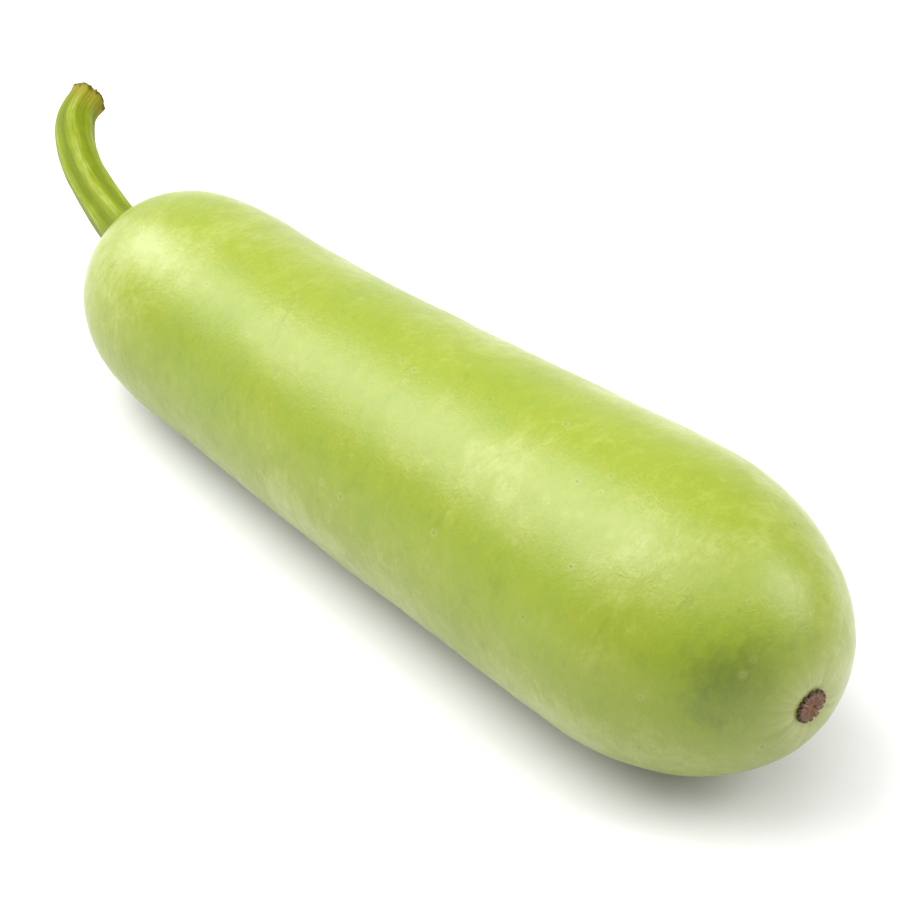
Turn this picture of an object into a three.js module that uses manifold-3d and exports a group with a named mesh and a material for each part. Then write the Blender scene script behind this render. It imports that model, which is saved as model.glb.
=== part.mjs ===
// A bottle gourd as picked: the fruit lies on its side with its cut stalk still on it.
// Millimetres, +Z up. The fruit runs along X, with the stalk at the -X end and the dried
// remains of the flower at the +X end. It rests on two small flats on its underside.

import * as THREE from 'three';
import { mergeVertices } from 'three/addons/utils/BufferGeometryUtils.js';
import Module from 'manifold-3d';

const wasm = await Module();
wasm.setup();

// Fruit: radii of the body at even steps from the stalk end to the blossom end.
const FRUIT_LENGTH = 298;
const BODY_RADII = [39.5, 36.5, 39.5, 43, 46, 44.5];
const STALK_SHOULDER_LENGTH = 59;
const STALK_SHOULDER_POWER = 2.35;
const BLOSSOM_NOSE_LENGTH = 64;
const BLOSSOM_NOSE_POWER = 2.15;

// The fruit's slightly bowed middle line, from the stalk end to the blossom end.
const FRUIT_LINE = [
  [0, 0, 34],
  [60, -4.6, 37.1],
  [119, -6.9, 40.2],
  [179, -7, 43.4],
  [238, -6.8, 46.4],
  [270, -8, 47.8],
  [298, -10.3, 48.8],
];
const REST_FLAT_DEPTH = 0.6;

// Stalk: its middle line starts inside the fruit's shoulder and ends at the cut.
const STALK_LINE = [
  [7, -2.5, 40],
  [0, -0.7, 40.6],
  [-12.4, 2.4, 41.7],
  [-24.7, 6.1, 43.1],
  [-36.5, 10.7, 44.8],
  [-47.4, 17.1, 47.1],
  [-53.3, 23.3, 49.4],
  [-56, 31.3, 52.3],
];
const STALK_BEND_NORMAL = [0, -0.342, 0.94];
const STALK_RADIUS = 6.55;
const STALK_FOOT_FLARE = 1.6;
const STALK_TIP_FLARE = 0.3;
const STALK_RIDGES = 5;
const STALK_RIDGE_HEIGHT = 0.2;

// Dried flower remains: a shallow pleated disc seated in a dish at the blossom end.
const SCAR_RADIUS = 5.6;
const SCAR_DEPTH = 1.3;
const SCAR_HEIGHT = 0.9;
const SCAR_PLEATS = 11;
const SCAR_PLEAT_HEIGHT = 0.25;

// Clearance that keeps touching pieces apart.
const GAP = 0.3;

const FRUIT_RINGS = 48;
const FRUIT_SIDES = 48;
const STALK_RINGS = 26;
const STALK_SIDES = 42;
const SCAR_SIDES = 44;

const point = ([x, y, z]) => new THREE.Vector3(x, y, z);

// Rounds a body off over its last stretch: 0 at the tip, 1 once past the rounded length.
function roundedEnd(distance, length, power) {
  const left = THREE.MathUtils.clamp(1 - distance / length, 0, 1);
  return Math.max(1 - left ** power, 0) ** (1 / power);
}

// Half section of the fruit as (radius, distance along), grown outwards by a margin.
function fruitSection(margin) {
  const step = FRUIT_LENGTH / (BODY_RADII.length - 1);
  const body = new THREE.SplineCurve(BODY_RADII.map((r, i) => new THREE.Vector2(i * step, r)));
  const section = [];
  for (let i = 0; i <= FRUIT_RINGS; i++) {
    const { x, y } = body.getPoint((1 - Math.cos((Math.PI * i) / FRUIT_RINGS)) / 2);
    const stalkEnd = roundedEnd(x, STALK_SHOULDER_LENGTH, STALK_SHOULDER_POWER);
    const blossomEnd = roundedEnd(FRUIT_LENGTH - x, BLOSSOM_NOSE_LENGTH, BLOSSOM_NOSE_POWER);
    const onAxis = i === 0 || i === FRUIT_RINGS;
    const radius = onAxis ? 0 : y * stalkEnd * blossomEnd + margin;
    const along = x + (margin * (2 * x - FRUIT_LENGTH)) / FRUIT_LENGTH;
    section.push(new THREE.Vector2(radius, along));
  }
  return section;
}

// Half section of the stalk: wide at the foot, slimmest at mid length, wider at the cut.
function stalkSection(length) {
  const section = [new THREE.Vector2(0, 0)];
  for (let i = 0; i <= STALK_RINGS; i++) {
    const u = i / STALK_RINGS;
    const flare = STALK_FOOT_FLARE * (1 - u) ** 5 + STALK_TIP_FLARE * u ** 6;
    section.push(new THREE.Vector2(STALK_RADIUS + flare, u * length));
  }
  section.push(new THREE.Vector2(0, length));
  return section;
}

// Half section of the flower remains, from the seat up to the small pit in the middle.
function scarSection() {
  const r = SCAR_RADIUS;
  const outline = [
    [0, -SCAR_DEPTH],
    [0.97 * r, -SCAR_DEPTH],
    [r, -0.7 * SCAR_DEPTH],
    [r, 0.1],
    [0.94 * r, 0.45 * SCAR_HEIGHT],
    [0.75 * r, 0.9 * SCAR_HEIGHT],
    [0.5 * r, SCAR_HEIGHT],
    [0.28 * r, 0.8 * SCAR_HEIGHT],
    [0.12 * r, 0.35 * SCAR_HEIGHT],
    [0, 0.2 * SCAR_HEIGHT],
  ];
  return outline.map(([radius, along]) => new THREE.Vector2(radius, along));
}

// Moves every vertex of a lathed shape, changing its distance from the lathe's axis.
function ridge(geometry, heightAt) {
  const position = geometry.getAttribute('position');
  for (let i = 0; i < position.count; i++) {
    const x = position.getX(i);
    const z = position.getZ(i);
    const radius = Math.hypot(x, z);
    const grown = radius > 0 ? 1 + heightAt(Math.atan2(x, z), radius) / radius : 1;
    position.setX(i, x * grown);
    position.setZ(i, z * grown);
  }
  return geometry;
}

// Lays a lathed shape along a curve, so the lathe's Y axis follows the curve.
function bendAlong(geometry, curve, up) {
  const position = geometry.getAttribute('position');
  const length = curve.getLength();
  for (let i = 0; i < position.count; i++) {
    const along = position.getY(i);
    const u = THREE.MathUtils.clamp(along / length, 0, 1);
    const ahead = curve.getTangentAt(u);
    const side = new THREE.Vector3().crossVectors(up, ahead).normalize();
    const top = new THREE.Vector3().crossVectors(ahead, side);
    const placed = curve.getPointAt(u)
      .addScaledVector(ahead, along - u * length)
      .addScaledVector(side, position.getX(i))
      .addScaledVector(top, -position.getZ(i));
    position.setXYZ(i, placed.x, placed.y, placed.z);
  }
  return geometry;
}

// A closed geometry as a solid: shared vertices merged, collapsed triangles dropped.
function toSolid(geometry) {
  geometry.deleteAttribute('normal');
  geometry.deleteAttribute('uv');
  const merged = mergeVertices(geometry, 1e-3);
  const corners = merged.getIndex().array;
  const triVerts = [];
  for (let i = 0; i < corners.length; i += 3) {
    const [a, b, c] = corners.slice(i, i + 3);
    if (a !== b && b !== c && a !== c) {
      triVerts.push(a, b, c);
    }
  }
  return new wasm.Manifold(new wasm.Mesh({
    numProp: 3,
    vertProperties: new Float32Array(merged.getAttribute('position').array),
    triVerts: new Uint32Array(triVerts),
  }));
}

function toMesh(solid, name, color, roughness) {
  const { vertProperties, triVerts } = solid.getMesh();
  const geometry = new THREE.BufferGeometry();
  geometry.setAttribute('position', new THREE.BufferAttribute(vertProperties, 3));
  geometry.setIndex(new THREE.BufferAttribute(triVerts, 1));
  geometry.computeVertexNormals();
  const material = new THREE.MeshStandardMaterial({ color, roughness, metalness: 0 });
  const mesh = new THREE.Mesh(geometry, material);
  mesh.name = name;
  return mesh;
}

// Places a lathed shape with its axis along a direction and its origin at a point.
function placeAt(geometry, origin, direction) {
  const turn = new THREE.Quaternion().setFromUnitVectors(new THREE.Vector3(0, 1, 0), direction);
  geometry.applyQuaternion(turn);
  geometry.translate(origin.x, origin.y, origin.z);
  return geometry;
}

const up = new THREE.Vector3(0, 0, 1);
const fruitLine = new THREE.CatmullRomCurve3(FRUIT_LINE.map(point));
const fruitBody = (margin) => toSolid(
  bendAlong(new THREE.LatheGeometry(fruitSection(margin), FRUIT_SIDES), fruitLine, up),
);

// The dish under the flower remains, and the block that cuts the rest flats.
const nose = fruitLine.getPointAt(1);
const noseDirection = fruitLine.getTangentAt(1);
const dishOutline = [
  [0, -SCAR_DEPTH - GAP],
  [SCAR_RADIUS + GAP, -SCAR_DEPTH - GAP],
  [SCAR_RADIUS + GAP, 3],
  [0, 3],
];
const dishSection = dishOutline.map(([radius, along]) => new THREE.Vector2(radius, along));
const dish = toSolid(
  placeAt(new THREE.LatheGeometry(dishSection, SCAR_SIDES), nose, noseDirection),
);
const ground = new THREE.BoxGeometry(2 * FRUIT_LENGTH, FRUIT_LENGTH, 20);
ground.translate(FRUIT_LENGTH / 2, 0, REST_FLAT_DEPTH - 10);
const fruit = fruitBody(0).subtract(dish).subtract(toSolid(ground));

// The stalk, cut at its foot to sit on the fruit's shoulder.
const stalkLine = new THREE.CatmullRomCurve3(STALK_LINE.map(point));
const stalkLathe = ridge(
  new THREE.LatheGeometry(stalkSection(stalkLine.getLength()), STALK_SIDES),
  (angle) => STALK_RIDGE_HEIGHT * Math.cos(STALK_RIDGES * angle),
);
const stalk = toSolid(bendAlong(stalkLathe, stalkLine, point(STALK_BEND_NORMAL)))
  .subtract(fruitBody(GAP));

// The flower remains.
const scarLathe = ridge(
  new THREE.LatheGeometry(scarSection(), SCAR_SIDES),
  (angle, radius) => {
    const pleat = 0.5 * (Math.cos(SCAR_PLEATS * angle) - 1);
    return radius > 0.6 * SCAR_RADIUS ? SCAR_PLEAT_HEIGHT * pleat : 0;
  },
);
const scar = toSolid(placeAt(scarLathe, nose, noseDirection));

const gourd = new THREE.Group();
gourd.add(
  toMesh(fruit, 'fruit', '#b4cc58', 0.45),
  toMesh(stalk, 'stem', '#9db01e', 0.7),
  toMesh(scar, 'blossom_scar', '#8a6a60', 0.9),
);

// The origin is under the middle of the gourd, on the surface that it rests on.
const box = new THREE.Box3().setFromObject(gourd);
const middle = box.getCenter(new THREE.Vector3());
gourd.position.set(-middle.x, -middle.y, -box.min.z);

export default gourd;
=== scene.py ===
"""A bottle gourd lying on its side: pale cloudy skin, a bent ridged stalk and the dried blossom end."""

import math

import bmesh
import bpy
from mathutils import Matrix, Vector, noise


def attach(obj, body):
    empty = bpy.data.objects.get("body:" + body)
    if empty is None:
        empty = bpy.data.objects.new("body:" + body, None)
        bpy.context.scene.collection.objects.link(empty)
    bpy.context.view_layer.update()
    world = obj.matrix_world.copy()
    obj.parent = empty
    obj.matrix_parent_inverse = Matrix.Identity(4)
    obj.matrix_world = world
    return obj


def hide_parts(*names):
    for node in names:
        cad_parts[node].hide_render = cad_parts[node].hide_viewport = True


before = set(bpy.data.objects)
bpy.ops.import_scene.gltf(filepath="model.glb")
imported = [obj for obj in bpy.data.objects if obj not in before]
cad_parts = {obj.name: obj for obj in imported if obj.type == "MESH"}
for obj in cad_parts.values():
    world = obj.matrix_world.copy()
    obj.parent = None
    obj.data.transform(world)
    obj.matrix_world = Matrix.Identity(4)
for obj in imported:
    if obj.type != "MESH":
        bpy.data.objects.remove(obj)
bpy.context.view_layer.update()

MM = 0.001

# All sizes are in millimetres unless a comment says otherwise.
# The fruit: body radii at even steps from the stalk end to the blossom end, how far each end's rounding
# reaches and how square it is, and the bowed middle line.
FRUIT_LENGTH = 298.0
BODY_RADII = (39.5, 36.5, 39.5, 43.0, 46.0, 44.5)
STALK_SHOULDER = (59.0, 2.35)
BLOSSOM_NOSE = (64.0, 2.15)
FRUIT_LINE = (
    (0.0, 0.0, 34.0),
    (60.0, -4.6, 37.1),
    (119.0, -6.9, 40.2),
    (179.0, -7.0, 43.4),
    (238.0, -6.8, 46.4),
    (270.0, -8.0, 47.8),
    (298.0, -10.3, 48.8),
)
FRUIT_RINGS = 312
FRUIT_SIDES = 296

# Broad patches of deeper green (above 0) and paler skin (below 0) on the fruit:
# how far along it, degrees round it, size in millimetres, strength.
# Some are painted light rather than skin colour: a painted highlight and painted shade, marked below.
PATCHES = (
    # Partly deeper green skin, partly painted shade where little light falls beside the dried blossom.
    (288.0, 146.0, 17.0, 3.5),
    (292.0, 112.0, 12.0, 1.5),
    (268.0, 147.0, 12.0, 0.3),
    (278.0, 82.0, 11.0, 0.6),
    (242.0, 161.0, 17.0, 1.5),
    (212.0, 158.0, 13.0, 0.6),
    (194.0, 161.0, 19.0, 1.1),
    (132.0, 161.0, 18.0, 1.1),
    (82.0, 154.0, 19.0, 1.1),
    (60.0, 172.0, 17.0, 0.8),
    # Painted shade: a deeper patch that dims the highlight band near the stalk end.
    (74.0, 130.0, 14.0, 0.6),
    (171.0, 105.0, 13.0, 0.7),
    (140.0, 112.0, 16.0, 0.7),
    (109.0, 96.0, 20.0, 0.9),
    (93.0, 120.0, 12.0, 0.6),
    (206.0, 86.0, 22.0, 0.2),
    (229.0, 83.0, 15.0, -0.7),
    (176.0, 143.0, 15.0, -0.35),
    (215.0, 143.0, 12.0, -0.8),
    (254.0, 136.0, 15.0, -0.8),
    (130.0, 145.0, 9.0, -0.7),
    # Painted highlight: a pale patch that whitens the shoulder where the light shines on it.
    (38.0, 128.0, 13.0, -1.5),
    (54.0, 96.0, 16.0, -0.7),
    (293.0, 72.0, 20.0, -0.5),
    (244.0, 187.0, 24.0, -1.0),
    (284.0, 190.0, 20.0, -0.6),
    (120.0, 198.0, 26.0, -0.5),
)

# Where the fruit's line starts in the frame. Every line here is written from that point.
START = Vector((-118.3, 6.8, -0.6))

# The stalk: its middle line from inside the shoulder to the cut, and the normal of the plane it bends in.
STALK_LINE = (
    (7.0, -2.5, 40.0),
    (0.0, -0.7, 40.6),
    (-12.4, 2.4, 41.7),
    (-24.7, 6.1, 43.1),
    (-36.5, 10.7, 44.8),
    (-47.4, 17.1, 47.1),
    (-53.3, 23.3, 49.4),
    (-56.0, 31.3, 52.3),
)
STALK_BEND_NORMAL = Vector((0.0, -0.342, 0.94))
STALK_RADIUS = 6.55
STALK_RINGS = 150
STALK_SIDES = 220

# The dried blossom, and how deep it sits in the skin's dish.
SCAR_RADIUS = 5.25
SCAR_SIDES = 264
SCAR_PLEATS = 14
SCAR_SUNK = 0.55

# Softboxes: name, degrees round the gourd, degrees up, metres away, width and height in metres, watts.
SOFTBOXES = (
    ("key_softbox", -57.0, 55.0, 1.6, 1.6, 1.6, 39.0),
    ("side_softbox", -86.0, 16.0, 1.6, 0.6, 0.6, 3.8),
    ("back_wall", -134.0, 12.0, 2.4, 3.0, 1.0, 5.0),
    ("top_softbox", 60.0, 82.0, 1.6, 1.6, 1.6, 17.0),
    ("back_softbox", 135.0, 36.0, 1.6, 0.9, 0.9, 14.0),
)
LIT_SPOT = Vector((0.02, 0.0, 0.04))
ROOM_LIGHT = 0.64

# The camera: what it looks at, degrees round and up, metres away, lens in millimetres,
# and a small step left and down in its own picture plane, in metres.
CAMERA_TARGET = Vector((148.85, 0.0, 45.0))
CAMERA_AZIMUTH = 45.5
CAMERA_ELEVATION = 41.2
CAMERA_DISTANCE = 0.95
CAMERA_LENS = 128.0
CAMERA_STEP = Vector((-0.0008, -0.0024, 0.0))


# ---------------------------------------------------------------- shaping helpers


def smooth_through(points, t):
    """A smooth curve through points or numbers that lie at even steps of t, from 0 to 1."""
    last = len(points) - 1
    place = min(max(t, 0.0), 1.0) * last
    i = min(int(place), last - 1)
    u = place - i
    p1, p2 = points[i], points[i + 1]
    p0 = points[i - 1] if i > 0 else p1 * 2 - p2
    p3 = points[i + 2] if i + 2 <= last else p2 * 2 - p1
    return 0.5 * (
        p1 * 2
        + (p2 - p0) * u
        + (p0 * 2 - p1 * 5 + p2 * 4 - p3) * u * u
        + (p1 * 3 - p0 - p2 * 3 + p3) * u * u * u
    )


def ease(low, high, value):
    """0 below low, 1 above high, smooth between."""
    t = min(max((value - low) / (high - low), 0.0), 1.0)
    return t * t * (3 - 2 * t)


class Line:
    """A centre line in millimetres, read by the distance travelled along it."""

    def __init__(self, points, up):
        self.up = up
        steps = 400
        corners = [START + Vector(p) for p in points]
        self.places = [smooth_through(corners, i / steps) for i in range(steps + 1)]
        self.travelled = [0.0]
        for a, b in zip(self.places, self.places[1:]):
            self.travelled.append(self.travelled[-1] + (b - a).length)
        self.length = self.travelled[-1]

    def at(self, distance):
        """Point, direction, side and top of the line at a distance along it."""
        inside = min(max(distance, 0.0), self.length)
        low, high = 0, len(self.travelled) - 1
        while high - low > 1:
            half = (low + high) // 2
            if self.travelled[half] <= inside:
                low = half
            else:
                high = half
        share = (inside - self.travelled[low]) / (self.travelled[high] - self.travelled[low])
        before = self.places[max(low - 3, 0)]
        after = self.places[min(high + 3, len(self.places) - 1)]
        ahead = (after - before).normalized()
        side = self.up.cross(ahead).normalized()
        point = self.places[low].lerp(self.places[high], share) + ahead * (distance - inside)
        return point, ahead, side, ahead.cross(side)


def turned(outline, sides):
    """A closed solid of revolution about X from an outline of (radius, distance along) in millimetres."""
    bm = bmesh.new()
    corners = [bm.verts.new((along, radius, 0.0)) for radius, along in outline]
    edges = [bm.edges.new(pair) for pair in zip(corners, corners[1:])]
    bmesh.ops.spin(
        bm,
        geom=corners + edges,
        cent=(0, 0, 0),
        axis=(1, 0, 0),
        angle=2 * math.pi,
        steps=sides,
        use_merge=True,
    )
    bmesh.ops.remove_doubles(bm, verts=bm.verts, dist=1e-4)
    bmesh.ops.recalc_face_normals(bm, faces=bm.faces)
    bm.verts.ensure_lookup_table()
    return bm


def remember_straight(bm):
    """Keeps each vertex's place on the unbent piece, in metres, for patterns that follow the piece."""
    layer = bm.verts.layers.float_vector.new("straight")
    for v in bm.verts:
        v[layer] = v.co * MM


def measure(bm, name):
    """A number kept at each vertex for the materials to read."""
    return bm.verts.layers.float.new(name)


def finish_piece(bm, name, material, node):
    """Outward faces, millimetres to metres, smooth shading, and the piece takes its CAD node's place."""
    if bm.calc_volume(signed=True) < 0:
        bmesh.ops.reverse_faces(bm, faces=bm.faces)
    bmesh.ops.scale(bm, vec=(MM, MM, MM), verts=bm.verts)
    for face in bm.faces:
        face.smooth = True
    mesh = bpy.data.meshes.new(name)
    bm.to_mesh(mesh)
    bm.free()
    piece = bpy.data.objects.new(name, mesh)
    bpy.context.scene.collection.objects.link(piece)
    piece.data.materials.append(material)
    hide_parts(node)
    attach(piece, "root")


# ---------------------------------------------------------------- fruit


def rounded_end(distance, length, power):
    """Rounds the body off over its last stretch: 0 at the tip, 1 past it."""
    left = min(max(1 - distance / length, 0.0), 1.0)
    return max(1 - left**power, 0.0) ** (1 / power)


def skin_radius(along):
    """The fruit's radius at a distance along it, rounded off at both ends."""
    radius = smooth_through(BODY_RADII, along / FRUIT_LENGTH)
    return radius * rounded_end(along, *STALK_SHOULDER) * rounded_end(FRUIT_LENGTH - along, *BLOSSOM_NOSE)


def fruit_outline():
    outline = []
    for i in range(FRUIT_RINGS + 1):
        # Rings crowd towards both ends, where the body turns quickly.
        t = i / FRUIT_RINGS
        share = 0.35 * t + 0.65 * (1 - math.cos(math.pi * t)) / 2
        along = FRUIT_LENGTH * share
        outline.append((0.0 if i in (0, FRUIT_RINGS) else skin_radius(along), along))
    return outline


def skin_relief(spot):
    """How far the skin stands out at a spot: broad swells, then dimples and fine crinkles."""
    swell = 0.40 * noise.noise(spot / 38.0)
    roll = 0.18 * noise.noise(spot / 15.0 + Vector((7.0, 3.0, 1.0)))
    # Dimples and crinkles are longer round the fruit than along it.
    round_it = Vector((spot.x * 1.7, spot.y, spot.z))
    dimple = 0.07 * noise.noise(round_it / 6.5 + Vector((2.0, 9.0, 4.0)))
    crinkle = 0.022 * noise.noise(round_it / 3.2 + Vector((5.0, 1.0, 8.0)))
    return swell + roll + dimple + crinkle


def patch_tone_and_painted_light_at(spot, patches):
    """How much deeper (or, below 0, paler) the green is at a spot on the unbent fruit, painted highlight and
    painted shade included.
    """
    total = 0.0
    for middle, size, strength in patches:
        total += strength * math.exp(-(spot - middle).length_squared / size**2)
    return total


def make_fruit(material):
    bm = turned(fruit_outline(), FRUIT_SIDES)
    remember_straight(bm)
    patch_tone_and_painted_light = measure(bm, "patch_tone_and_painted_light")
    patches = []
    for along, degrees, size, strength in PATCHES:
        radius = skin_radius(along)
        a = math.radians(degrees)
        middle = Vector((along, radius * math.cos(a), radius * math.sin(a)))
        patches.append((middle, size, strength))
    line = Line(FRUIT_LINE, Vector((0, 0, 1)))
    scale = line.length / FRUIT_LENGTH
    for v in bm.verts:
        v[patch_tone_and_painted_light] = patch_tone_and_painted_light_at(v.co, patches)
        along, y, z = v.co
        radius = math.hypot(y, z)
        angle = math.atan2(z, y)
        to_blossom = math.hypot(FRUIT_LENGTH - along, radius)
        to_stalk = math.hypot(along, radius)
        # The skin puckers in fine spokes round the dried blossom and sinks to a dish under it.
        spokes = noise.noise(Vector((math.cos(angle) * 3.4, math.sin(angle) * 3.4, 2.0)))
        pucker = 0.16 * spokes * ease(3.0, 7.0, to_blossom) * (1 - ease(8.0, 20.0, to_blossom))
        sink = -1.1 * (1 - ease(4.6, 6.6, to_blossom)) - 0.5 * (1 - ease(6.0, 13.0, to_blossom))
        # Round the stalk's foot the shoulder dips a little and runs in soft ribs.
        ribs = 0.25 * math.cos(7 * angle) * (1 - ease(10.0, 24.0, to_stalk))
        dip = 0.6 * (1 - ease(7.0, 16.0, to_stalk))
        outward = Vector((0.0, y, z)).normalized() if radius > 1e-6 else Vector((0, 0, 0))
        lift = skin_relief(v.co) + ribs
        along += (sink + pucker) * ease(200, 290, along) + dip * (1 - ease(8, 60, along))
        y += outward.y * lift
        z += outward.z * lift
        point, ahead, side, top = line.at(along * scale)
        v.co = point + side * y + top * z
    # The skin lies flat where the fruit's weight rests on the surface.
    for v in bm.verts:
        v.co.z = max(v.co.z, 0.0)
    finish_piece(bm, "gourd_skin", material, "fruit")


# ---------------------------------------------------------------- stalk


def stalk_outline(length):
    outline = [(0.0, 0.0)]
    for i in range(STALK_RINGS + 1):
        u = i / STALK_RINGS
        outline.append((STALK_RADIUS + 1.15 * (1 - u) ** 4, u * length))
    # The cut: a rounded lip, then the pith sinks inside it.
    lip = ((0.985, 0.15), (0.94, 0.2), (0.88, 0.0))
    pith = ((0.8, -0.4), (0.64, -0.8), (0.42, -1.1), (0.2, -1.3))
    for share, rise in lip + pith:
        outline.append((STALK_RADIUS * share, length + rise))
    outline.append((0.0, length - 1.4))
    return outline


def make_stalk(material):
    line = Line(STALK_LINE, STALK_BEND_NORMAL)
    bm = turned(stalk_outline(line.length), STALK_SIDES)
    remember_straight(bm)
    ribs = measure(bm, "ribs")
    for v in bm.verts:
        along, y, z = v.co
        radius = math.hypot(y, z)
        angle = math.atan2(z, y)
        u = along / line.length
        wall = ease(0.55, 0.95, radius / STALK_RADIUS)
        # Six broad ribs with finer cords between, wandering a little along the stalk.
        wander = 0.18 * noise.noise(Vector((along / 22.0, 2.0, 0.0)))
        rib = math.cos(6 * (angle + wander - 0.66))
        v[ribs] = rib
        cords = noise.noise(Vector((math.cos(angle) * 3.2, math.sin(angle) * 3.2, along / 34.0)))
        fine = noise.noise(Vector((math.cos(angle) * 8.0, math.sin(angle) * 8.0, along / 26.0)))
        lumps = noise.noise(v.co / 9.0)
        swell = wall * (0.22 * rib + 0.24 * cords + 0.2 * fine + 0.2 * lumps)
        # On the inside of the bend the foot spreads and the neck draws in; the lip turns out all round.
        inside = 0.5 - 0.5 * math.cos(angle + math.radians(30))
        spread = 2.6 * math.exp(-max(along - 8.0, 0.0) / 3.0)
        swell += wall * inside * (spread - 1.1 * ease(0.78, 0.96, u) + 0.25 * ease(0.965, 1.0, u))
        swell += wall * 0.15 * ease(0.965, 1.0, u)
        if radius > 1e-6:
            y *= 1 + swell / radius
            z *= 1 + swell / radius
        # The cut slants to one side, and its torn edge stands up and falls unevenly.
        slant = 1.04 * math.cos(angle - math.radians(80)) - 0.4
        along += slant * ease(0.8, 1.0, u)
        ragged = noise.noise(Vector((math.cos(angle) * 2.4, math.sin(angle) * 2.4, 5.0)))
        teeth = noise.noise(Vector((math.cos(angle) * 9.0, math.sin(angle) * 9.0, 9.0)))
        along += (0.25 * ragged + 0.5 * teeth - 0.1) * ease(0.95, 1.0, u) * wall
        point, ahead, side, top = line.at(along)
        v.co = point + side * y + top * z
    finish_piece(bm, "gourd_stalk", material, "stem")


# ---------------------------------------------------------------- dried blossom


def scar_outline():
    r = SCAR_RADIUS
    rings = 44
    outline = [(0.0, -1.2), (0.5 * r, -1.2), (0.9 * r, -1.2), (0.97 * r, -0.9), (r, -0.45), (r, -0.1)]
    for i in range(1, rings):
        share = 1 - i / rings
        outline.append((r * share, 0.3 * ease(1.0, 0.88, share) - 0.35 * ease(0.6, 0.0, share)))
    return outline + [(0.0, 0.2)]


def make_scar(material):
    bm = turned(scar_outline(), SCAR_SIDES)
    remember_straight(bm)
    gaps = measure(bm, "gaps")
    line = Line(FRUIT_LINE, Vector((0, 0, 1)))
    pit = Vector((0.9, -0.5))
    for v in bm.verts:
        along, y, z = v.co
        radius = math.hypot(y, z)
        angle = math.atan2(z, y)
        share = radius / SCAR_RADIUS
        # Petal bases lie side by side, unevenly wide, with a narrow gap between each two.
        bend = angle + 0.07 * math.sin(2 * angle) + 0.05 * math.sin(5 * angle + 1.0)
        gap = abs(math.cos(0.5 * SCAR_PLEATS * bend)) ** 7
        v[gaps] = gap
        upper = ease(-0.4, 0.0, along)
        fibres = noise.noise(Vector((math.cos(angle) * 11.0, math.sin(angle) * 11.0, share)))
        along += upper * ease(0.12, 0.5, share) * (0.12 * fibres - 0.5 * gap)
        along += upper * 0.16 * noise.noise(Vector((y, z, 1.0)) / 0.8)
        along -= upper * 0.8 * (1 - ease(0.25, 0.8, (Vector((y, z)) - pit).length))
        if radius > 1e-6:
            edge = ease(0.72, 1.0, share)
            ragged = noise.noise(Vector((math.cos(angle) * 5.0, math.sin(angle) * 5.0, 3.0)))
            grown = 1 - edge * (0.2 * gap - 0.07 * ragged)
            y *= grown
            z *= grown
        # It sits sunk in the skin's dish.
        point, ahead, side, top = line.at(line.length + along - SCAR_SUNK)
        v.co = point + side * y + top * z
    finish_piece(bm, "dried_blossom", material, "blossom_scar")


# ---------------------------------------------------------------- materials


def colour(code):
    """An sRGB hex colour as linear RGBA."""
    channels = [int(code[i : i + 2], 16) / 255 for i in (1, 3, 5)]
    linear = [c / 12.92 if c <= 0.04045 else ((c + 0.055) / 1.055) ** 2.4 for c in channels]
    return (*linear, 1.0)


def per(size_mm):
    """How many repeats of a pattern of this size fit in a metre."""
    return 1000.0 / size_mm


def add(tree, kind, links=None, stops=None, **settings):
    """Adds a node. links maps an input to a value or another node's output. stops are a colour ramp's
    (place, colour), with the first and last stop written first, because a new ramp has those two."""
    made = tree.nodes.new(kind)
    for key, value in settings.items():
        setattr(made, key, value)
    for key, value in (links or {}).items():
        if isinstance(value, bpy.types.NodeSocket):
            tree.links.new(value, made.inputs[key])
        else:
            made.inputs[key].default_value = value
    for i, (place, shade) in enumerate(stops or ()):
        elements = made.color_ramp.elements
        element = elements[i] if i < 2 else elements.new(place)
        element.position = place
        element.color = shade
    return made


def grey(value):
    return (value, value, value, 1.0)


def new_material(name):
    material = bpy.data.materials.new(name)
    material.use_nodes = True
    material.node_tree.nodes.clear()
    return material, material.node_tree


def mixed(tree, share, below, above):
    """One colour laid over another by a share."""
    return add(tree, "ShaderNodeMix", {0: share, 6: below, 7: above}, data_type="RGBA").outputs[2]


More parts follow.
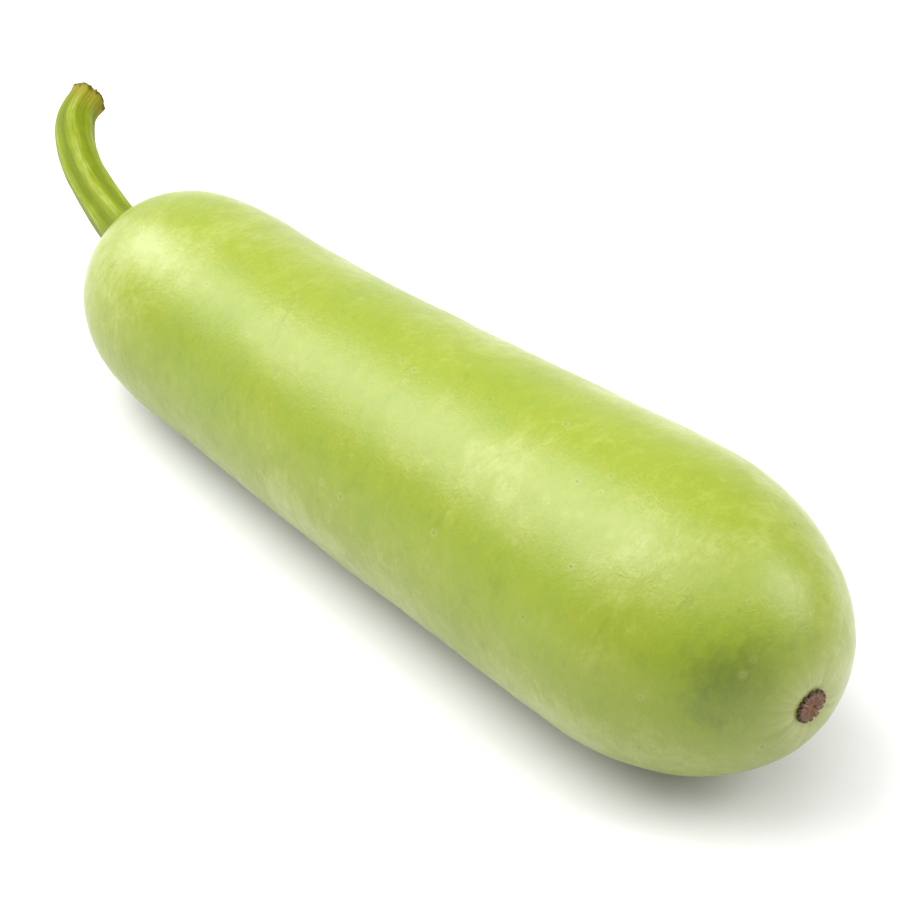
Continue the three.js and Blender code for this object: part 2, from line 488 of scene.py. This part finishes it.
def gourd_skin():
    """Living gourd skin: thin, satin and slightly see-through, clouded pale and deep green."""
    material, tree = new_material("gourd_skin")
    place = add(tree, "ShaderNodeTexCoord").outputs["Object"]
    straight = add(tree, "ShaderNodeAttribute", attribute_name="straight").outputs["Vector"]

    # Cloudy patches about 40 mm across, broken by smaller ones of 13 mm.
    clouds = add(
        tree,
        "ShaderNodeTexNoise",
        {"Vector": place, "Scale": per(40), "Detail": 3.0, "Roughness": 0.5, "Distortion": 0.5},
    )
    patches = add(
        tree,
        "ShaderNodeTexNoise",
        {"Vector": place, "Scale": per(13), "Detail": 4.0, "Roughness": 0.6, "Distortion": 0.8},
    )
    # Flecks run round the fruit, 2.5 mm wide and 5 mm long, with short fibres of 1 by 2 mm between them.
    narrowed = add(tree, "ShaderNodeMapping", {"Vector": straight, "Scale": (2.0, 1.0, 1.0)})
    across = narrowed.outputs["Vector"]
    flecks = add(
        tree,
        "ShaderNodeTexNoise",
        {"Vector": across, "Scale": per(5), "Detail": 3.0, "Roughness": 0.65, "Distortion": 0.7},
    )
    fibres = add(
        tree,
        "ShaderNodeTexNoise",
        {"Vector": across, "Scale": per(1.9), "Detail": 3.0, "Roughness": 0.6, "Distortion": 0.6},
    )
    cloudy = add(
        tree,
        "ShaderNodeMix",
        {0: 0.34, 2: clouds.outputs["Fac"], 3: patches.outputs["Fac"]},
        data_type="FLOAT",
    )
    flecked = add(
        tree,
        "ShaderNodeMix",
        {0: 0.22, 2: cloudy.outputs[0], 3: flecks.outputs["Fac"]},
        data_type="FLOAT",
    )
    downy = add(
        tree,
        "ShaderNodeMix",
        {0: 0.12, 2: flecked.outputs[0], 3: fibres.outputs["Fac"]},
        data_type="FLOAT",
    )
    # The patch values: deeper and paler skin, with the painted highlight and painted shade among them.
    patch_tone_and_painted_light = add(tree, "ShaderNodeAttribute", attribute_name="patch_tone_and_painted_light").outputs["Fac"]
    paleness = add(
        tree, "ShaderNodeMath", {0: patch_tone_and_painted_light, 1: -0.075, 2: downy.outputs[0]}, operation="MULTIPLY_ADD"
    )
    skin = add(
        tree,
        "ShaderNodeValToRGB",
        {"Fac": paleness.outputs[0]},
        stops=(
            (0.2, colour("#5A6A03")),
            (0.64, colour("#919B4E")),
            (0.37, colour("#738503")),
            (0.43, colour("#778807")),
            (0.5, colour("#7D8A12")),
            (0.57, colour("#879332")),
        ),
    )

    # Deep green stains, 4 to 8 mm across with ragged edges, lie where the green is already deep.
    stains = add(
        tree,
        "ShaderNodeTexNoise",
        {"Vector": across, "Scale": per(8), "Detail": 6.0, "Roughness": 0.72, "Distortion": 0.3},
    )
    stained = add(
        tree, "ShaderNodeMath", {0: patch_tone_and_painted_light, 1: 0.03, 2: stains.outputs["Fac"]}, operation="MULTIPLY_ADD"
    )
    stain = add(tree, "ShaderNodeMapRange", {"Value": stained.outputs[0], 1: 0.58, 2: 0.72, 3: 0.0, 4: 0.6})
    green = mixed(tree, stain.outputs["Result"], skin.outputs["Color"], colour("#667A02"))

    # Pale and green streaks run out 20 mm from the dried blossom, over a paler, greyer tone that is painted
    # light.
    apart = add(tree, "ShaderNodeSeparateXYZ", {"Vector": straight})
    facing = add(tree, "ShaderNodeCombineXYZ", {"Y": apart.outputs["Y"], "Z": apart.outputs["Z"]})
    spoke = add(tree, "ShaderNodeVectorMath", {0: facing.outputs["Vector"]}, operation="NORMALIZE")
    streaks = add(
        tree,
        "ShaderNodeTexNoise",
        {"Vector": spoke.outputs["Vector"], "Scale": 4.6, "Detail": 3.0, "Roughness": 0.6},
    )
    blossom_end = (FRUIT_LENGTH * MM, 0.0, 0.0)
    away = add(tree, "ShaderNodeVectorMath", {0: straight, 1: blossom_end}, operation="DISTANCE")
    near = add(
        tree,
        "ShaderNodeMapRange",
        {"Value": away.outputs["Value"], 1: 0.005, 2: 0.019, 3: 0.4, 4: 0.0},
    )
    streaked = add(
        tree,
        "ShaderNodeValToRGB",
        {"Fac": streaks.outputs["Fac"]},
        stops=((0.40, colour("#6D782D")), (0.60, colour("#A1A06A"))),
    )
    # Painted light: a paler, greyer tone laid over the skin, fading out 30 mm from the blossom end.
    blossom_end_light_share = add(
        tree,
        "ShaderNodeMapRange",
        {"Value": away.outputs["Value"], 1: 0.008, 2: 0.03, 3: 0.35, 4: 0.0},
    )
    blossom_end_painted_light = mixed(tree, blossom_end_light_share.outputs["Result"], green, colour("#8C8E57"))
    radiating = mixed(tree, near.outputs["Result"], blossom_end_painted_light, streaked.outputs["Color"])

    # Pinprick marks less than 1 mm across, a few centimetres apart, some in a pale ring.
    marks = add(tree, "ShaderNodeTexVoronoi", {"Vector": place, "Scale": per(6.5), "Randomness": 1.0})
    chosen = add(tree, "ShaderNodeSeparateColor", {"Color": marks.outputs["Color"]})
    some = add(tree, "ShaderNodeMath", {0: chosen.outputs["Red"], 1: 0.6}, operation="GREATER_THAN")
    halo = add(
        tree,
        "ShaderNodeMapRange",
        {"Value": marks.outputs["Distance"], 1: 0.08, 2: 0.26, 3: 0.22, 4: 0.0},
    )
    halo_on = add(
        tree,
        "ShaderNodeMath",
        {0: halo.outputs["Result"], 1: chosen.outputs["Green"]},
        operation="MULTIPLY",
    )
    halo_here = add(
        tree, "ShaderNodeMath", {0: halo_on.outputs[0], 1: some.outputs[0]}, operation="MULTIPLY"
    )
    ringed = mixed(tree, halo_here.outputs[0], radiating, colour("#AFAB79"))
    prick = add(
        tree,
        "ShaderNodeMapRange",
        {"Value": marks.outputs["Distance"], 1: 0.03, 2: 0.1, 3: 0.75, 4: 0.0},
    )
    prick_here = add(
        tree, "ShaderNodeMath", {0: prick.outputs["Result"], 1: some.outputs[0]}, operation="MULTIPLY"
    )
    pricked = mixed(tree, prick_here.outputs[0], ringed, colour("#556416"))

    # Leathery crinkles of 1.8 mm and the grain of the down at 0.9 mm break up the shine.
    crinkles = add(
        tree,
        "ShaderNodeTexNoise",
        {"Vector": place, "Scale": per(1.8), "Detail": 3.0, "Roughness": 0.6, "Distortion": 0.8},
    )
    down = add(
        tree, "ShaderNodeTexNoise", {"Vector": place, "Scale": per(0.9), "Detail": 2.0, "Roughness": 0.6}
    )
    leather = add(
        tree, "ShaderNodeBump", {"Strength": 0.5, "Distance": 0.00024, "Height": crinkles.outputs["Fac"]}
    )
    grain = add(
        tree,
        "ShaderNodeBump",
        {
            "Strength": 0.3,
            "Distance": 0.0001,
            "Height": down.outputs["Fac"],
            "Normal": leather.outputs["Normal"],
        },
    )
    # The paler the skin, the waxier and smoother it is.
    gloss = add(
        tree, "ShaderNodeMapRange", {"Value": paleness.outputs[0], 1: 0.38, 2: 0.58, 3: 0.42, 4: 0.29}
    )
    shader = add(
        tree,
        "ShaderNodeBsdfPrincipled",
        {
            "Base Color": pricked,
            "Roughness": gloss.outputs["Result"],
            "IOR": 1.5,
            "Specular IOR Level": 0.6,
            "Subsurface Weight": 0.25,
            "Subsurface Radius": (0.9, 1.0, 0.35),
            "Subsurface Scale": 0.004,
            "Sheen Weight": 0.05,
            "Sheen Roughness": 0.5,
            "Sheen Tint": colour("#EEF2DC"),
            "Normal": grain.outputs["Normal"],
        },
    )
    add(tree, "ShaderNodeOutputMaterial", {"Surface": shader.outputs["BSDF"]})
    return material


def stalk_rind():
    """Fresh gourd stalk: fibrous rind, pale on its ribs, deep green between, tan and brown at the cut."""
    material, tree = new_material("stalk_rind")
    straight = add(tree, "ShaderNodeAttribute", attribute_name="straight").outputs["Vector"]
    ribs = add(tree, "ShaderNodeAttribute", attribute_name="ribs").outputs["Fac"]
    apart = add(tree, "ShaderNodeSeparateXYZ", {"Vector": straight})
    length = Line(STALK_LINE, STALK_BEND_NORMAL).length * MM

    # Deep green lies in the furrows and pale fibre on the ribs.
    crest = add(tree, "ShaderNodeMapRange", {"Value": ribs, 1: -1.0, 2: 1.0, 3: 0.0, 4: 1.0})
    # Cords 2.4 mm wide and threads 0.6 mm wide run along the stalk, 20 times as long; blotches are 6 mm.
    lengthwise = add(tree, "ShaderNodeMapping", {"Vector": straight, "Scale": (0.05, 1.0, 1.0)})
    cords = add(
        tree,
        "ShaderNodeTexNoise",
        {"Vector": lengthwise.outputs["Vector"], "Scale": per(2.4), "Detail": 2.0, "Roughness": 0.5},
    )
    threads = add(
        tree,
        "ShaderNodeTexNoise",
        {"Vector": lengthwise.outputs["Vector"], "Scale": per(0.6), "Detail": 3.0, "Roughness": 0.7},
    )
    blotches = add(
        tree, "ShaderNodeTexNoise", {"Vector": straight, "Scale": per(6), "Detail": 4.0, "Roughness": 0.65}
    )
    corded = add(
        tree,
        "ShaderNodeMix",
        {0: 0.5, 2: crest.outputs["Result"], 3: cords.outputs["Fac"]},
        data_type="FLOAT",
    )
    threaded = add(
        tree,
        "ShaderNodeMix",
        {0: 0.5, 2: corded.outputs[0], 3: threads.outputs["Fac"]},
        data_type="FLOAT",
    )
    blotched = add(
        tree,
        "ShaderNodeMix",
        {0: 0.2, 2: threaded.outputs[0], 3: blotches.outputs["Fac"]},
        data_type="FLOAT",
    )
    rind = add(
        tree,
        "ShaderNodeValToRGB",
        {"Fac": blotched.outputs[0]},
        stops=(
            (0.37, colour("#5B6903")),
            (0.67, colour("#8C944D")),
            (0.46, colour("#657307")),
            (0.53, colour("#6E7B10")),
            (0.6, colour("#78841F")),
        ),
    )
    foot = add(
        tree, "ShaderNodeMapRange", {"Value": apart.outputs["X"], 1: 0.008, 2: 0.017, 3: 0.5, 4: 0.0}
    )
    rooted = mixed(tree, foot.outputs["Result"], rind.outputs["Color"], colour("#546603"))
    tip = add(
        tree,
        "ShaderNodeMapRange",
        {"Value": apart.outputs["X"], 1: length - 0.0095, 2: length - 0.001, 3: 0.0, 4: 0.85},
    )
    tanned = mixed(tree, tip.outputs["Result"], rooted, colour("#7C720D"))
    # The torn lip has dried brown in specks of 1.8 mm.
    specks = add(
        tree, "ShaderNodeTexNoise", {"Vector": straight, "Scale": per(1.8), "Detail": 3.0, "Roughness": 0.6}
    )
    torn = add(
        tree,
        "ShaderNodeMath",
        {0: specks.outputs["Fac"], 1: -0.004, 2: apart.outputs["X"]},
        operation="MULTIPLY_ADD",
    )
    lip = add(
        tree,
        "ShaderNodeMapRange",
        {"Value": torn.outputs[0], 1: length - 0.0032, 2: length - 0.0022, 3: 0.0, 4: 0.92},
    )
    browned = mixed(tree, lip.outputs["Result"], tanned, colour("#3F2907"))
    furrows = add(
        tree, "ShaderNodeBump", {"Strength": 0.5, "Distance": 0.0004, "Height": threads.outputs["Fac"]}
    )
    knobs = add(
        tree,
        "ShaderNodeBump",
        {
            "Strength": 0.4,
            "Distance": 0.0003,
            "Height": specks.outputs["Fac"],
            "Normal": furrows.outputs["Normal"],
        },
    )
    gloss = add(
        tree, "ShaderNodeMapRange", {"Value": blotches.outputs["Fac"], 1: 0.3, 2: 0.7, 3: 0.45, 4: 0.6}
    )
    shader = add(
        tree,
        "ShaderNodeBsdfPrincipled",
        {
            "Base Color": browned,
            "Roughness": gloss.outputs["Result"],
            "IOR": 1.45,
            "Specular IOR Level": 0.16,
            "Subsurface Weight": 0.1,
            "Subsurface Radius": (0.8, 1.0, 0.3),
            "Subsurface Scale": 0.002,
            "Normal": knobs.outputs["Normal"],
        },
    )
    add(tree, "ShaderNodeOutputMaterial", {"Surface": shader.outputs["BSDF"]})
    return material


def dried_petals():
    """Withered flower base: matt, papery mauve-brown folds, pale edged, with black-brown tips."""
    material, tree = new_material("dried_petals")
    straight = add(tree, "ShaderNodeAttribute", attribute_name="straight").outputs["Vector"]
    gaps = add(tree, "ShaderNodeAttribute", attribute_name="gaps").outputs["Fac"]
    apart = add(tree, "ShaderNodeSeparateXYZ", {"Vector": straight})
    flat = add(tree, "ShaderNodeCombineXYZ", {"Y": apart.outputs["Y"], "Z": apart.outputs["Z"]})
    outward = add(tree, "ShaderNodeVectorMath", {0: flat.outputs["Vector"]}, operation="LENGTH")
    out = outward.outputs["Value"]
    spoke = add(tree, "ShaderNodeVectorMath", {0: flat.outputs["Vector"]}, operation="NORMALIZE")

    # Fibres fan out from the middle; 1 mm mottling breaks them up.
    fibres = add(
        tree,
        "ShaderNodeTexNoise",
        {"Vector": spoke.outputs["Vector"], "Scale": 9.0, "Detail": 3.0, "Roughness": 0.6},
    )
    mottle = add(
        tree, "ShaderNodeTexNoise", {"Vector": straight, "Scale": per(1.1), "Detail": 4.0, "Roughness": 0.65}
    )
    dry = add(
        tree,
        "ShaderNodeMix",
        {0: 0.45, 2: fibres.outputs["Fac"], 3: mottle.outputs["Fac"]},
        data_type="FLOAT",
    )
    folds = add(
        tree,
        "ShaderNodeValToRGB",
        {"Fac": dry.outputs[0]},
        stops=((0.38, colour("#503427")), (0.62, colour("#856A5A")), (0.5, colour("#6C4E3D"))),
    )
    # Pale edges run down both sides of each petal base.
    pale = add(tree, "ShaderNodeMapRange", {"Value": gaps, 1: 0.15, 2: 0.5, 3: 0.0, 4: 0.5})
    edged = mixed(tree, pale.outputs["Result"], folds.outputs["Color"], colour("#927E67"))
    deep = add(tree, "ShaderNodeMapRange", {"Value": gaps, 1: 0.55, 2: 0.9, 3: 0.0, 4: 0.8})
    creased = mixed(tree, deep.outputs["Result"], edged, colour("#39250E"))
    rim = add(tree, "ShaderNodeMapRange", {"Value": out, 1: 0.0041, 2: 0.005, 3: 0.0, 4: 0.8})
    frayed = mixed(tree, rim.outputs["Result"], creased, colour("#38261A"))
    heart = add(tree, "ShaderNodeMapRange", {"Value": out, 1: 0.001, 2: 0.0022, 3: 0.85, 4: 0.0})
    centred = mixed(tree, heart.outputs["Result"], frayed, colour("#744927"))
    papery = add(tree, "ShaderNodeBump", {"Strength": 0.6, "Distance": 0.0003, "Height": dry.outputs[0]})
    wear = add(
        tree, "ShaderNodeMapRange", {"Value": mottle.outputs["Fac"], 1: 0.3, 2: 0.7, 3: 0.75, 4: 0.95}
    )
    shader = add(
        tree,
        "ShaderNodeBsdfPrincipled",
        {"Base Color": centred, "Roughness": wear.outputs["Result"], "Normal": papery.outputs["Normal"]},
    )
    add(tree, "ShaderNodeOutputMaterial", {"Surface": shader.outputs["BSDF"]})
    return material


def white_table():
    """Matt white laminate: an even pale surface that shows only the gourd's own soft shadow."""
    material, tree = new_material("white_table")
    place = add(tree, "ShaderNodeTexCoord").outputs["Object"]
    # Barely seen unevenness of 30 mm in the white, and a fine 0.5 mm tooth.
    uneven = add(tree, "ShaderNodeTexNoise", {"Vector": place, "Scale": per(30), "Detail": 3.0})
    white = add(
        tree,
        "ShaderNodeValToRGB",
        {"Fac": uneven.outputs["Fac"]},
        stops=((0.3, grey(0.67)), (0.7, grey(0.69))),
    )
    tooth = add(tree, "ShaderNodeTexNoise", {"Vector": place, "Scale": per(0.5), "Detail": 2.0})
    fine = add(
        tree, "ShaderNodeBump", {"Strength": 0.1, "Distance": 0.0001, "Height": tooth.outputs["Fac"]}
    )
    wear = add(
        tree, "ShaderNodeMapRange", {"Value": uneven.outputs["Fac"], 1: 0.3, 2: 0.7, 3: 0.86, 4: 0.92}
    )
    shader = add(
        tree,
        "ShaderNodeBsdfPrincipled",
        {
            "Base Color": white.outputs["Color"],
            "Roughness": wear.outputs["Result"],
            "Specular IOR Level": 0.1,
            "Normal": fine.outputs["Normal"],
        },
    )
    add(tree, "ShaderNodeOutputMaterial", {"Surface": shader.outputs["BSDF"]})
    return material


# ---------------------------------------------------------------- stage


def make_table(material):
    bm = bmesh.new()
    bmesh.ops.create_grid(bm, x_segments=2, y_segments=2, size=6.0)
    mesh = bpy.data.meshes.new("table")
    bm.to_mesh(mesh)
    bm.free()
    table = bpy.data.objects.new("table", mesh)
    table.data.materials.append(material)
    bpy.context.scene.collection.objects.link(table)


def look_at(thing, target):
    thing.rotation_euler = (target - thing.location).to_track_quat("-Z", "Y").to_euler()


def round_the_gourd(azimuth, elevation, distance, target):
    """A place seen from the target at an azimuth (0 is in front, along -Y) and elevation in degrees."""
    a, e = math.radians(azimuth), math.radians(elevation)
    return target + distance * Vector((math.sin(a) * math.cos(e), -math.cos(a) * math.cos(e), math.sin(e)))


def make_light(name, azimuth, elevation, distance, width, height, power):
    data = bpy.data.lights.new(name, "AREA")
    data.shape = "RECTANGLE"
    data.size = width
    data.size_y = height
    data.energy = power
    light = bpy.data.objects.new(name, data)
    light.location = round_the_gourd(azimuth, elevation, distance, LIT_SPOT)
    look_at(light, LIT_SPOT)
    bpy.context.scene.collection.objects.link(light)


def make_camera():
    target = (START + CAMERA_TARGET) * MM
    data = bpy.data.cameras.new("camera")
    data.sensor_width = 36.0
    data.lens = CAMERA_LENS
    camera = bpy.data.objects.new("camera", data)
    camera.location = round_the_gourd(CAMERA_AZIMUTH, CAMERA_ELEVATION, CAMERA_DISTANCE, target)
    look_at(camera, target)
    turn = camera.rotation_euler.to_matrix()
    camera.location += turn @ CAMERA_STEP
    bpy.context.scene.collection.objects.link(camera)
    bpy.context.scene.camera = camera


def set_studio():
    scene = bpy.context.scene
    scene.view_settings.view_transform = "Standard"
    world = bpy.data.worlds.new("studio")
    world.use_nodes = True
    world.node_tree.nodes["Background"].inputs["Color"].default_value = grey(1.0)
    world.node_tree.nodes["Background"].inputs["Strength"].default_value = ROOM_LIGHT
    scene.world = world
    for softbox in SOFTBOXES:
        make_light(*softbox)


make_fruit(gourd_skin())
make_stalk(stalk_rind())
make_scar(dried_petals())
make_table(white_table())
set_studio()
make_camera()
